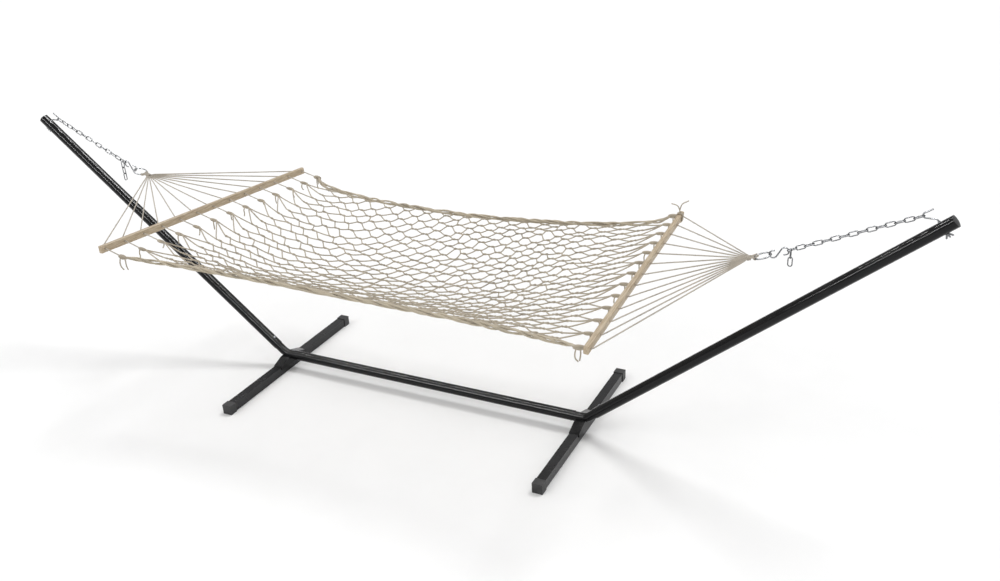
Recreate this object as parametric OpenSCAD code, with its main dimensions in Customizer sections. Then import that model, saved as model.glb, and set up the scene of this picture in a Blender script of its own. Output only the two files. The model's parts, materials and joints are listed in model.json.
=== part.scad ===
// Two-person rope hammock with wooden spreader bars on a tubular steel stand.
// X runs along the stand, Y across it, Z up. The origin is on the floor, midway between the feet.

/* [Stand] */
// Distance between the corners of the two elbows
elbow_span = 1736; // [1400:1:2100]
// Length of an arm from the elbow's corner to its tip
arm_length = 1871; // [1500:1:2250]
// Angle of the arms above the floor
arm_angle = 39.4; // [34:0.1:44]
// Outer diameter of the beam and arm tubes
tube_d = 50; // [42:1:60]
// Wall of the beam, arm and elbow tubes
tube_wall = 2; // [1.5:0.5:2.5]
// Radial play between an elbow and the tubes over it
elbow_play = 0.5; // [0.3:0.1:0.8]
// Bend radius of the elbow, on its centre line
bend_r = 70; // [60:1:84]
// Length of each end of an elbow that sits inside its tube
elbow_insert = 120; // [90:1:160]
// Distance from the elbow's corner to the end of the beam
beam_end_gap = 58; // [50:1:75]
// Distance from the elbow's corner to the end of the arm tube
arm_end_gap = 62; // [50:1:80]

/* [Feet] */
// Length of a foot over its end caps
foot_length = 1056; // [850:1:1300]
// Side of the square foot tube
foot_size = 44; // [38:1:55]
// Wall of the square foot tube
foot_wall = 2; // [1.5:0.5:3]
// Wall of the plastic end caps, which also lifts the foot tube off the floor
foot_cap_wall = 3; // [2.8:0.1:5]
// Length of an end cap along the foot
foot_cap_length = 42; // [30:1:60]
// Distance from the elbow's corner inward to the middle of the foot
foot_inset = 18; // [14:1:22]
// Half length of the saddle bracket at the foot
saddle_half = 108; // [80:1:130]
// Sheet thickness of the saddle bracket
saddle_wall = 3; // [2:0.5:4]
// Height of the elbow's underside above the foot tube
saddle_rise = 3; // [2:0.5:6]

/* [Hooks and chains] */
// Distance from the arm's tip back to the hook bolt
hook_setback = 56; // [45:1:80]
// Wire diameter of the hook bolts, S-hooks and rings
hook_wire = 6; // [5:0.5:7]
// Radius of the hook's round end, on its centre line
hook_bend_r = 11; // [10:0.5:14]
// Wire diameter of the chain links
link_wire = 4.5; // [3.5:0.25:5]
// Inside length of a chain link
link_pitch = 34.6; // [30:0.2:42]
// Inside width of a chain link
link_gap = 12; // [11:0.5:14]
// Number of links in the left chain
links_left = 14; // [10:1:17]
// Number of links in the right chain
links_right = 15; // [10:1:17]
// Number of spare links that hang from the left chain
spare_links_left = 3; // [1:1:4]
// Number of spare links that hang from the right chain
spare_links_right = 2; // [1:1:4]
// Length of an S-hook between its two wire centres
s_hook_length = 79; // [74:1:95]
// Inside diameter of the rings
ring_bore = 60; // [50:1:75]
// Drop from the arm hooks to the rings
ring_drop = 233; // [180:1:280]

/* [Bed] */
// Length of a spreader bar
bar_length = 1400; // [1100:1:1650]
// Width of the spreader bar's section
bar_w = 22; // [18:1:30]
// Height of the spreader bar's section
bar_h = 35; // [28:1:45]
// Chamfer of the spreader bar's long edges
bar_chamfer = 3; // [1:0.5:4]
// Number of clew cords and of bar holes at each end
cords = 13; // [9:2:15]
// Diameter of the clew cords
cord_d = 5; // [4:0.5:5.5]
// Distance from a bar's end to the middle of its first hole
hole_margin = 20; // [15:1:40]
// Horizontal reach from the left ring to its spreader bar
clew_reach_left = 492; // [420:1:620]
// Horizontal reach from the right ring to its spreader bar
clew_reach_right = 540; // [420:1:620]
// Drop from the left ring to its spreader bar
clew_drop_left = 150; // [110:1:200]
// Drop from the right ring to its spreader bar
clew_drop_right = 167; // [110:1:200]
// Swing of the left bar's near end away from the bed
bar_yaw_left = 5.4; // [0:0.1:8]
// Swing of the right bar's near end away from the bed
bar_yaw_right = 2.5; // [0:0.1:8]
// Lift of the left bar's near end
bar_tilt_left = 2.2; // [-3:0.1:3]
// Lift of the right bar's near end
bar_tilt_right = -0.3; // [-3:0.1:3]
// Lean of both bar sections, top away from the bed
bar_lean = 6; // [0:1:12]
// Length of the ties between the left bar and the net
tie_left = 115; // [60:1:140]
// Length of the ties between the right bar and the net
tie_right = 24; // [20:1:70]
// Thickness of the net
net_t = 6; // [5:0.5:10]
// Diameter of the twisted edge ropes
edge_d = 22; // [16:1:28]
// Amount that each edge pulls in at the middle
edge_pull = 134; // [80:1:220]
// Sag of the edges at the middle
edge_sag = 60; // [30:1:140]
// Sag of the net's centre line at the middle
mid_sag = 215; // [140:1:300]

/* [Hidden] */
$fn = 64;
LEFT = 0;
RIGHT = 1;

// Stand
elbow_x = elbow_span / 2;
tube_r = tube_d / 2;
elbow_d = tube_d - 2 * tube_wall - 2 * elbow_play;
elbow_r = elbow_d / 2;
elbow_bore_r = elbow_r - tube_wall;
foot_x = elbow_x - foot_inset;
foot_top = foot_cap_wall + foot_size;
axis_h = foot_top + saddle_rise + elbow_r;
bend_cut = bend_r * tan(arm_angle / 2);
beam_end = elbow_x - beam_end_gap;
saddle_play = 0.5;
saddle_skirt = 14;
saddle_shoulder = 2;
saddle_top_half = 1.85 * elbow_r;

// How the runs and bends of a bent bar are joined
lap = 0.3;
swell_d = 0.04;

// Screws, bolts and nuts
screw_d = 8;
screw_hole_d = 9;
screw_head_d = 13;
screw_head_h = 4;
screw_inset = 43;
beam_screw_inset = 18;
nut_r = 7.5;
nut_h = 6.5;
nut_bore_d = 8.3;
nut_seat = sqrt(pow(elbow_bore_r, 2) - pow(nut_r, 2)) - 0.5;
screw_reach = tube_r - (nut_seat - nut_h) + 1;
bolt_head_d = 16;
bolt_head_h = 2.3;
bolt_end_play = 0.1;
socket_d = 5.5;

// Arm caps
cap_rim = 6;
cap_plug_length = 24;
cap_plug_play = 0.2;
cap_wall = 2;

// Hook bolts
wire_r = hook_wire / 2;
hook_hole_d = hook_wire + 1;
hook_rise = 10;
hook_root_r = 10;
hook_leg = 33;
hook_turn = 147;
hook_tip = 32;
hook_thread = 18;
hook_nut_r = 5.8;
hook_nut_h = 5;
washer_d = 18;
washer_h = 1.6;
washer_play = 0.1;
thread_play = 0.3;
wing_hub_d = 12;
wing_hub_h = 8;
wing_t = 2.4;
hook_base_x = elbow_x + (arm_length - hook_setback) * cos(arm_angle) - tube_r * sin(arm_angle);
hook_base_z = axis_h + (arm_length - hook_setback) * sin(arm_angle) + tube_r * cos(arm_angle);
hook_root = [hook_rise * sin(arm_angle) + hook_root_r * cos(arm_angle),
             hook_rise * cos(arm_angle) + hook_root_r * (1 - sin(arm_angle))];
hook_centre_x = hook_base_x - hook_root[0] - hook_leg;
hook_centre_z = hook_base_z + hook_root[1] + hook_bend_r;

// The two chains turn about one line through the round ends of the hooks
pull_angle = 24;
hang_x = hook_centre_x - hook_bend_r * cos(pull_angle);
hang_z = hook_centre_z - hook_bend_r * sin(pull_angle);

// Chains, S-hooks and rings
hang_play = 0.35;
link_play = 0.2;
link_r = link_wire / 2;
link_bend_r = link_gap / 2 + link_r;
link_start = -(wire_r + link_r + hang_play);
link_step = link_pitch - link_play;
s_bend_r = 15;
s_tip = 9;
s_wrap = 100;
s_centres = s_hook_length - 2 * s_bend_r;
s_cross_angle = asin(2 * s_bend_r / s_centres);
s_cross = sqrt(pow(s_centres, 2) - pow(2 * s_bend_r, 2));
links = [links_left, links_right];
link_turn = [for (n = links) n % 2 == 0 ? 90 + 90 / (n - 1) : 90];
spare_links = [spare_links_left, spare_links_right];
s_start = [for (n = links) link_start + (n - 1) * link_step + link_pitch + link_wire
           - link_r - wire_r - hang_play];
ring_start = [for (s = s_start) s + s_hook_length - 2 * wire_r - hang_play];
chain_angle = [for (r = ring_start) asin(ring_drop / r)];
ring_x = [for (i = [LEFT, RIGHT]) hang_x - ring_start[i] * cos(chain_angle[i])];
ring_z = hang_z - ring_drop;
ring_r = ring_bore / 2 + wire_r;
spare_setback = 13;
spare_play = 0.3;

// Clew and spreader bars
clew_reach = [clew_reach_left, clew_reach_right];
clew_drop = [clew_drop_left, clew_drop_right];
clew_angle = [for (i = [LEFT, RIGHT]) atan(clew_drop[i] / clew_reach[i])];
wrap_angle = 76;
wrap_r = 8.5;
wrap_bore_r = wire_r + 0.3;
knot_start = 2 * ring_r + wrap_r + 0.5;
knot_half_w = 12;
knot_t = 11;
fan_x = knot_start + 5;
fan_angle = 56;
fan_r = 36;
fan_play = 2;
bar_yaw = [bar_yaw_left, bar_yaw_right];
bar_tilt = [bar_tilt_left, bar_tilt_right];
tie = [tie_left, tie_right];
bar_z = [for (drop = clew_drop) ring_z - drop];
hole_d = cord_d + 4;
hole_half = bar_length / 2 - hole_margin;
mouth = 6;
tie_knot_d = 15;
tie_drop = [20, 4];
knot_play = 0.6;

// Net
net_gap = 10;
net_rows = 24;
net_columns = 12;
net_parts = 4;
edge_rows = 26;
edge_inset = 20;
pull_shape = 0.5;
cord_sides = 8;

// ---- Places and frames ----

function rot_x(a, v) = [v.x, v.y * cos(a) - v.z * sin(a), v.y * sin(a) + v.z * cos(a)];
function rot_y(a, v) = [v.x * cos(a) + v.z * sin(a), v.y, v.z * cos(a) - v.x * sin(a)];
function rot_z(a, v) = [v.x * cos(a) - v.y * sin(a), v.x * sin(a) + v.y * cos(a), v.z];
function unit(v) = v / norm(v);
function mix(a, b, t) = a + (b - a) * t;

// A point drawn for the left end, moved to its own end
function at_end(i, v) = [i == LEFT ? v.x : -v.x, v.y, v.z];

// The middle of a spreader bar, as drawn for the left end
function bar_middle(i) = [-ring_x[i] + clew_reach[i], 0, bar_z[i]];

// A point beside a spreader bar: x away from the ring, y along the bar
function bar_point(i, v) =
    at_end(i, bar_middle(i) + rot_z(-bar_yaw[i], rot_x(-bar_tilt[i], v)));

// A point on the axis of a bar's hole, x from the bar's middle
function hole_point(i, x, y) = bar_point(i, rot_y(-bar_lean, [x, y, 0]));

// A point in the plane of a ring and its clew, x from the ring's outer wire
function clew_point(i, x, y) =
    at_end(i, [-ring_x[i], 0, ring_z] + rot_y(clew_angle[i], [x, y, 0]));

function hole_y(j) = -hole_half + 2 * hole_half * j / (cords - 1);

// Stand pieces are drawn for the right end, hanging pieces for the left end.
// All but the bars are alike on their near and far sides, so a half turn serves both ends.
module stand_end(i) {
    rotate([0, 0, i == LEFT ? 180 : 0]) children();
}

module bed_end(i) {
    rotate([0, 0, i == RIGHT ? 180 : 0]) children();
}

// X along the arm from the elbow's corner, Z out of its upper side
module on_arm() {
    translate([elbow_x, 0, axis_h]) rotate([0, -arm_angle, 0]) children();
}

// X along the chain from the hanging line
module on_chain(i) {
    translate([-hang_x, 0, hang_z]) rotate([0, chain_angle[i], 0]) children();
}

// X from the ring's outer wire towards the bed
module on_clew(i) {
    translate([-ring_x[i], 0, ring_z]) rotate([0, clew_angle[i], 0]) children();
}

module on_bar(i) {
    translate(bar_middle(i)) rotate([0, 0, -bar_yaw[i]]) rotate([-bar_tilt[i], 0, 0])
        rotate([0, -bar_lean, 0]) children();
}

// ---- Shared shapes ----

module section(od, id) {
    difference() {
        circle(d = od);
        circle(d = id);
    }
}

// A round bar bent in the XZ plane: each step is [run, turn, bend radius].
// The straight runs reach a little way inside the bends, which are a hair thicker.
module bent(steps, d, i = 0) {
    if (i < len(steps)) {
        run = steps[i][0];
        turn = steps[i][1];
        r = steps[i][2];
        from = i == 0 ? 0 : -lap;
        to = turn == 0 ? run : run + lap;
        translate([from, 0, 0]) rotate([0, 90, 0]) cylinder(h = to - from, d = d);
        translate([run, 0, 0]) {
            if (turn != 0) rotate([turn < 0 ? 180 : 0, 0, 0])
                translate([0, 0, r]) rotate([90, 0, 0]) rotate([0, 0, -90])
                    rotate_extrude(angle = abs(turn)) translate([r, 0]) circle(d = d + swell_d);
            translate([r * sin(abs(turn)), 0, sign(turn) * r * (1 - cos(turn))])
                rotate([0, -turn, 0]) bent(steps, d, i + 1);
        }
    }
}

// Sides across a path, square to it and level with the floor
function ring_side(d) = unit(cross(d, [0, 0, 1]));
function heading(path, k) =
    unit(path[min(k + 1, len(path) - 1)] - path[max(k - 1, 0)]);
function path_ring(path, k, r) =
    let (d = heading(path, k), u = ring_side(d), v = cross(u, d))
    [for (s = [0:cord_sides - 1]) path[k] + r * (u * cos(360 * s / cord_sides)
        + v * sin(360 * s / cord_sides))];

// A closed tube swept along a list of points
module cord(path, d) {
    n = len(path);
    points = [for (k = [0:n - 1]) each path_ring(path, k, d / 2)];
    walls = [for (k = [0:n - 2]) for (s = [0:cord_sides - 1])
        let (a = k * cord_sides + s, b = k * cord_sides + (s + 1) % cord_sides)
        each [[a, b, b + cord_sides], [a, b + cord_sides, a + cord_sides]]];
    first = [[for (s = [cord_sides - 1:-1:0]) s]];
    last = [[for (s = [0:cord_sides - 1]) (n - 1) * cord_sides + s]];
    polyhedron(points, concat(walls, first, last));
}

module hex_nut(r, h, bore) {
    difference() {
        cylinder(h = h, r = r, $fn = 6);
        translate([0, 0, -1]) cylinder(h = h + 2, d = bore);
    }
}

// A button-head screw that points down from the origin
module button_screw(reach) {
    difference() {
        union() {
            rotate_extrude() intersection() {
                translate([0, -screw_head_d]) circle(r = screw_head_d + screw_head_h, $fn = 128);
                square([screw_head_d / 2, screw_head_h]);
            }
            translate([0, 0, -reach]) cylinder(h = reach, d = screw_d);
        }
        translate([0, 0, screw_head_h / 2]) cylinder(h = screw_head_h, d = socket_d, $fn = 6);
    }
}

// ---- Stand ----

module centre_beam() {
    color("#1b1b1d") difference() {
        translate([-beam_end, 0, axis_h]) rotate([0, 90, 0])
            linear_extrude(2 * beam_end) section(tube_d, tube_d - 2 * tube_wall);
        for (s = [-1, 1]) translate([s * (beam_end - beam_screw_inset), 0, axis_h - tube_d])
            cylinder(h = tube_d, d = screw_hole_d);
    }
}

// The elbow's outline, reaching a given length past the ends of the beam and arm
module elbow_rod(reach, d) {
    translate([beam_end - reach, 0, axis_h])
        bent([[beam_end_gap + reach - bend_cut, arm_angle, bend_r],
              [arm_end_gap + reach - bend_cut, 0, 0]], d);
}

module elbow(i) {
    stand_end(i) color("#1b1b1d") difference() {
        elbow_rod(elbow_insert, elbow_d);
        elbow_rod(elbow_insert + 1, 2 * elbow_bore_r);
        translate([beam_end - beam_screw_inset, 0, axis_h - tube_d])
            cylinder(h = tube_d, d = screw_hole_d);
        translate([foot_x, 0, axis_h - tube_d]) cylinder(h = tube_d, d = screw_hole_d);
        on_arm() translate([arm_end_gap + screw_inset, 0, 0])
            cylinder(h = tube_d, d = screw_hole_d);
    }
}

module arm(i) {
    stand_end(i) on_arm() color("#1b1b1d") difference() {
        translate([arm_end_gap, 0, 0]) rotate([0, 90, 0])
            linear_extrude(arm_length - cap_rim - arm_end_gap)
                section(tube_d, tube_d - 2 * tube_wall);
        translate([arm_end_gap + screw_inset, 0, 0]) cylinder(h = tube_d, d = screw_hole_d);
        translate([arm_length - hook_setback, 0, -tube_d])
            cylinder(h = 2 * tube_d, d = hook_hole_d);
    }
}

// Plug with a domed rim that closes an arm's tip
module arm_cap(i) {
    plug_r = tube_r - tube_wall - cap_plug_play;
    stand_end(i) on_arm() translate([arm_length - cap_rim, 0, 0]) rotate([0, 90, 0])
        color("#141415") rotate_extrude() {
            translate([plug_r - cap_wall, -cap_plug_length]) square([cap_wall, cap_plug_length]);
            intersection() {
                translate([0, cap_rim - 3 * tube_r]) circle(r = 3 * tube_r, $fn = 256);
                square([tube_r, cap_rim]);
            }
        }
}

module foot(i) {
    inner = foot_size - 2 * foot_wall;
    tube_length = foot_length - 2 * foot_cap_wall;
    stand_end(i) color("#2a2b2d") difference() {
        translate([foot_x - foot_size / 2, -tube_length / 2, foot_cap_wall])
            cube([foot_size, tube_length, foot_size]);
        translate([foot_x - inner / 2, -foot_length / 2, foot_cap_wall + foot_wall])
            cube([inner, foot_length, inner]);
        translate([foot_x, 0, 0]) cylinder(h = 2 * foot_top, d = screw_hole_d);
    }
}

// Cap over a foot's end: side -1 is the near end, 1 the far end
module foot_cap(i, side) {
    cap_play = 0.2;
    outer = foot_size + 2 * foot_cap_wall;
    pocket = foot_size + 2 * cap_play;
    stand_end(i) translate([foot_x, side * foot_length / 2, 0]) mirror([0, side < 0 ? 1 : 0, 0])
        color("#161617") difference() {
            translate([-outer / 2, -foot_cap_length, 0]) cube([outer, foot_cap_length, outer]);
            translate([-pocket / 2, -2 * foot_cap_length, foot_cap_wall - cap_play])
                cube([pocket, 2 * foot_cap_length - foot_cap_wall + cap_play, pocket]);
        }
}

// Side view of the saddle, drawn in from its outer faces
module saddle_profile(inset, depth) {
    half = saddle_half - inset;
    top = axis_h - inset;
    polygon([[-half, foot_top - depth], [half, foot_top - depth],
        [half, foot_top + saddle_shoulder - inset / 2], [saddle_top_half, top],
        [-saddle_top_half, top], [-half, foot_top + saddle_shoulder - inset / 2]]);
}

// Pressed bracket that straddles the foot and cradles the elbow
module saddle(i) {
    inner = foot_size + 2 * saddle_play;
    outer = inner + 2 * saddle_wall;
    cradle_play = 0.25;
    stand_end(i) color("#161617") difference() {
        translate([foot_x - outer / 2, 0, 0]) rotate([90, 0, 90])
            linear_extrude(outer) saddle_profile(0, saddle_skirt);
        translate([foot_x - inner / 2, 0, 0]) rotate([90, 0, 90])
            linear_extrude(inner) saddle_profile(saddle_wall, 2 * saddle_skirt);
        translate([foot_x - inner / 2, -foot_length / 2, 0])
            cube([inner, foot_length, foot_top + 0.1]);
        elbow_rod(0, elbow_d + 2 * cradle_play);
    }
}

// Flat-head bolt that comes up through the foot into the elbow
module saddle_bolt(i) {
    seat = foot_cap_wall - bolt_end_play;
    stand_end(i) translate([foot_x, 0, 0]) color("#b9bcc0") difference() {
        union() {
            translate([0, 0, seat - bolt_head_h]) cylinder(h = bolt_head_h, d = bolt_head_d);
            translate([0, 0, seat]) cylinder(h = axis_h - nut_seat + nut_h + 1 - seat, d = screw_d);
        }
        translate([0, 0, seat - 2 * bolt_head_h]) cylinder(h = 2.5 * bolt_head_h, d = socket_d, $fn = 6);
    }
}

module saddle_nut(i) {
    stand_end(i) translate([foot_x, 0, axis_h - nut_seat + 0.5]) rotate([0, 0, 30])
        color("#b9bcc0") hex_nut(nut_r, nut_h, nut_bore_d);
}

// One screw through the top of the arm and one through the underside of the beam
module tube_screws(i) {
    stand_end(i) color("#c8cacd") {
        on_arm() translate([arm_end_gap + screw_inset, 0, tube_r + bolt_end_play])
            button_screw(screw_reach);
        translate([beam_end - beam_screw_inset, 0, axis_h - tube_r - bolt_end_play])
            rotate([180, 0, 0]) button_screw(screw_reach);
    }
}

module tube_nuts(i) {
    stand_end(i) color("#b9bcc0") {
        on_arm() translate([arm_end_gap + screw_inset, 0, nut_seat - nut_h])
            hex_nut(nut_r, nut_h, nut_bore_d);
        translate([beam_end - beam_screw_inset, 0, axis_h - nut_seat])
            hex_nut(nut_r, nut_h, nut_bore_d);
    }
}

// ---- Hook bolts ----

module at_hook(i) {
    stand_end(i) on_arm() translate([arm_length - hook_setback, 0, 0]) children();
}

module hook(i) {
    at_hook(i) translate([0, 0, -tube_r - hook_thread]) rotate([0, -90, 0])
        color("#9fa2a5") bent([[tube_d + hook_thread + hook_rise, 90 - arm_angle, hook_root_r],
            [hook_leg, -hook_turn, hook_bend_r], [hook_tip, 0, 0]], hook_wire);
}

module hook_nut(i) {
    at_hook(i) translate([0, 0, tube_r + washer_play])
        color("#b9bcc0") hex_nut(hook_nut_r, hook_nut_h, hook_wire + thread_play);
}

module hook_washer(i) {
    at_hook(i) translate([0, 0, -tube_r - washer_play - washer_h]) color("#b9bcc0") difference() {
        cylinder(h = washer_h, d = washer_d);
        translate([0, 0, -1]) cylinder(h = washer_h + 2, d = hook_hole_d);
    }
}

module wing_nut(i) {
    top = -tube_r - 2 * washer_play - washer_h;
    at_hook(i) translate([0, 0, top - wing_hub_h]) color("#b9bcc0") difference() {
        union() {
            cylinder(h = wing_hub_h, d = wing_hub_d);
            translate([0, wing_t / 2, 0]) rotate([90, 0, 0]) linear_extrude(wing_t)
                for (s = [-1, 1]) scale([s, 1]) polygon([[wing_hub_d / 3, wing_hub_h - 2],
                    [wing_hub_d / 2 + 3, wing_hub_h - 2], [16, -4], [15, -8], [10, -7],
                    [wing_hub_d / 3, 1]]);
        }
        translate([0, 0, -wing_hub_h]) cylinder(h = 3 * wing_hub_h, d = hook_wire + thread_play);
    }
}

// ---- Chains, S-hooks and rings ----

// An oval link from X = 0, measured at its wire centre
module link() {
    far = link_pitch + link_wire - link_bend_r;
    translate([link_bend_r, 0, 0]) rotate([0, 0, 90])
        rotate_extrude(angle = 180) translate([link_bend_r, 0]) circle(r = link_r);
    for (s = [-1, 1]) translate([link_bend_r, s * link_bend_r, 0]) rotate([0, 90, 0])
        cylinder(h = far - link_bend_r, r = link_r);
    translate([far, 0, 0]) rotate([0, 0, -90])
        rotate_extrude(angle = 180) translate([link_bend_r, 0]) circle(r = link_r);
}

// Every link lies across its neighbours. An even number of links shares out a quarter
// turn more, so that the last link lies across the S-hook.
module chain(i) {
    bed_end(i) on_chain(i) color("#a7aaad") for (n = [0:links[i] - 1])
        translate([link_start + n * link_step, 0, 0]) rotate([n * link_turn[i], 0, 0]) link();
}

module s_hook(i) {
    tip_x = s_bend_r * (1 - cos(s_wrap)) - s_tip * sin(-s_wrap);
    tip_z = s_bend_r * sin(-s_wrap) - s_tip * cos(s_wrap);
    turn = s_wrap + 90 + s_cross_angle;
    bed_end(i) on_chain(i) translate([s_start[i], 0, 0]) color("#a7aaad")
        translate([tip_x, 0, tip_z]) rotate([0, -90 - s_wrap, 0])
            bent([[s_tip, -turn, s_bend_r], [s_cross, turn, s_bend_r], [s_tip, 0, 0]], hook_wire);
}

// Spare links that hang straight down from the side of the last link
module spare_chain(i) {
    near = i == LEFT ? -1 : 1;
    bed_end(i) translate([-hang_x, 0, hang_z] + rot_y(chain_angle[i],
            [s_start[i] - spare_setback, near * link_bend_r, link_wire + spare_play]))
        rotate([0, 90, 0]) color("#a7aaad") for (n = [0:spare_links[i] - 1])
            translate([n * link_step, 0, 0]) rotate([n % 2 == 0 ? 0 : 90, 0, 0]) link();
}

module ring(i) {
    bed_end(i) on_clew(i) translate([ring_r, 0, 0]) color("#a7aaad")
        rotate_extrude() translate([ring_r, 0]) circle(r = wire_r);
}

// ---- Clew ----

// Turns of cord around the ring's inner side
module clew_wrap(i) {
    bed_end(i) on_clew(i) translate([ring_r, 0, 0]) rotate([0, 0, -wrap_angle / 2])
        color("#d8ccb0") rotate_extrude(angle = wrap_angle) translate([ring_r, 0])
            section(2 * wrap_r, 2 * wrap_bore_r);
}

// The bound start of the fan of cords
module clew_knot(i) {
    arc = [for (a = [fan_angle:-8:-fan_angle]) [fan_x + fan_r * cos(a), fan_r * sin(a)]];
    bed_end(i) on_clew(i) translate([0, 0, -knot_t / 2]) color("#d8ccb0")
        linear_extrude(knot_t) polygon(concat([[knot_start, -knot_half_w],
            [knot_start, knot_half_w]], arc));
}

// Each cord runs from the fan through its hole in the bar to its tie knot
function tie_point(i, j) = bar_point(i, [bar_w / 2 + tie[i], hole_y(j), -tie_drop[i]]);
function cord_path(i, j) =
    let (a = fan_angle * (2 * j / (cords - 1) - 1),
         start = clew_point(i, fan_x + (fan_r + fan_play) * cos(a), (fan_r + fan_play) * sin(a)),
         outer = hole_point(i, -bar_w / 2 - mouth, hole_y(j)),
         inner = hole_point(i, bar_w / 2 + mouth, hole_y(j)),
         knot = tie_point(i, j))
    [start, outer, inner, knot - unit(knot - inner) * (tie_knot_d / 2 + knot_play)];

module clew_cords(i) {
    color("#d8ccb0") for (j = [0:cords - 1]) cord(cord_path(i, j), cord_d);
}

module tie_knots(i) {
    color("#d8ccb0") for (j = [0:cords - 1]) translate(tie_point(i, j)) sphere(d = tie_knot_d);
}

module spreader_bar(i) {
    c = bar_chamfer;
    mirror([i == RIGHT ? 1 : 0, 0, 0]) on_bar(i) color("#c9a878") difference() {
        translate([0, bar_length / 2, 0]) rotate([90, 0, 0]) linear_extrude(bar_length)
            polygon([for (p = [[1, 1], [-1, 1], [-1, -1], [1, -1]])
                each let (x = p[0] * bar_w / 2, z = p[1] * bar_h / 2,
                          along = [x - p[0] * c, z], down = [x, z - p[1] * c])
                    p[0] * p[1] > 0 ? [down, along] : [along, down]]);
        for (j = [0:cords - 1]) translate([-bar_w, hole_y(j), 0]) rotate([0, 90, 0])
            cylinder(h = 2 * bar_w, d = hole_d);
    }
}

// ---- Net ----

function swell(t) = 4 * t * (1 - t);

// A point on the net: t along it from left to right, q across it in bar lengths
function net_point(t, q) =
    let (reach = [for (i = [LEFT, RIGHT]) bar_w / 2 + tie[i] + tie_knot_d / 2 + net_gap],
         a = bar_point(LEFT, [reach[LEFT], q * hole_half, -tie_drop[LEFT]]),
         b = bar_point(RIGHT, [reach[RIGHT], q * hole_half, -tie_drop[RIGHT]]),
         edge = pow(swell(t), pull_shape))
    mix(a, b, t) - [0, edge * edge_pull * q,
        edge * edge_sag + swell(t) * (mid_sag - edge_sag) * (1 - q * q)];

// One of the sheets that make up the net, counted from the left on the near or the far side
module net_part(k, side) {
    rows = net_rows / net_parts;
    columns = net_columns / 2;
    first = side < 0 ? 0 : columns;
    reach = 1 - edge_inset / hole_half;
    width = columns + 1;
    top = [for (r = [0:rows]) for (c = [0:columns])
        net_point(k / net_parts + r / net_rows, reach * (2 * (first + c) / net_columns - 1))
            + [0, 0, net_t / 2]];
    bottom = [for (p = top) p - [0, 0, net_t]];
    n = len(top);
    skin = [for (r = [0:rows - 1]) for (c = [0:columns - 1]) let (a = r * width + c)
        each [[a, a + width, a + width + 1], [a, a + width + 1, a + 1]]];
    rim = concat([for (c = [0:columns - 1]) c],
        [for (r = [0:rows - 1]) r * width + columns],
        [for (c = [columns:-1:1]) rows * width + c],
        [for (r = [rows:-1:1]) r * width]);
    walls = [for (k = [0:len(rim) - 1]) let (a = rim[k], b = rim[(k + 1) % len(rim)])
        each [[a, b, b + n], [a, b + n, a + n]]];
    under = [for (f = skin) [f[2] + n, f[1] + n, f[0] + n]];
    color("#e2d8c2") polyhedron(concat(top, bottom), concat(skin, under, walls));
}

module edge_rope(side) {
    color("#d8ccb0") cord([for (r = [0:edge_rows]) net_point(r / edge_rows, side)], edge_d);
}

centre_beam();
elbow(LEFT);  // elbow_left
elbow(RIGHT);  // elbow_right
arm(LEFT);  // arm_left
arm(RIGHT);  // arm_right
arm_cap(LEFT);  // arm_cap_left
arm_cap(RIGHT);  // arm_cap_right
foot(LEFT);  // foot_left
foot(RIGHT);  // foot_right
foot_cap(LEFT, -1);  // foot_cap_left_near
foot_cap(LEFT, 1);  // foot_cap_left_far
foot_cap(RIGHT, -1);  // foot_cap_right_near
foot_cap(RIGHT, 1);  // foot_cap_right_far
saddle(LEFT);  // saddle_left
saddle(RIGHT);  // saddle_right
saddle_bolt(LEFT);  // saddle_bolt_left
saddle_bolt(RIGHT);  // saddle_bolt_right
saddle_nut(LEFT);  // saddle_nut_left
saddle_nut(RIGHT);  // saddle_nut_right
tube_screws(LEFT);  // tube_screws_left
tube_screws(RIGHT);  // tube_screws_right
tube_nuts(LEFT);  // tube_nuts_left
tube_nuts(RIGHT);  // tube_nuts_right
hook(LEFT);  // hook_left
hook(RIGHT);  // hook_right
hook_nut(LEFT);  // hook_nut_left
hook_nut(RIGHT);  // hook_nut_right
hook_washer(LEFT);  // hook_washer_left
hook_washer(RIGHT);  // hook_washer_right
wing_nut(LEFT);  // wing_nut_left
wing_nut(RIGHT);  // wing_nut_right
chain(LEFT);  // chain_left
chain(RIGHT);  // chain_right
s_hook(LEFT);  // s_hook_left
s_hook(RIGHT);  // s_hook_right
spare_chain(LEFT);  // spare_chain_left
spare_chain(RIGHT);  // spare_chain_right
ring(LEFT);  // ring_left
ring(RIGHT);  // ring_right
clew_wrap(LEFT);  // clew_wrap_left
clew_wrap(RIGHT);  // clew_wrap_right
clew_knot(LEFT);  // clew_knot_left
clew_knot(RIGHT);  // clew_knot_right
clew_cords(LEFT);  // clew_cords_left
clew_cords(RIGHT);  // clew_cords_right
spreader_bar(LEFT);  // spreader_bar_left
spreader_bar(RIGHT);  // spreader_bar_right
tie_knots(LEFT);  // tie_knots_left
tie_knots(RIGHT);  // tie_knots_right
net_part(0, -1);  // net_near_1
net_part(1, -1);  // net_near_2
net_part(2, -1);  // net_near_3
net_part(3, -1);  // net_near_4
net_part(0, 1);  // net_far_1
net_part(1, 1);  // net_far_2
net_part(2, 1);  // net_far_3
net_part(3, 1);  // net_far_4
edge_rope(-1);  // edge_rope_near
edge_rope(1);  // edge_rope_far
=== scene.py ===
import json
import math

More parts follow.
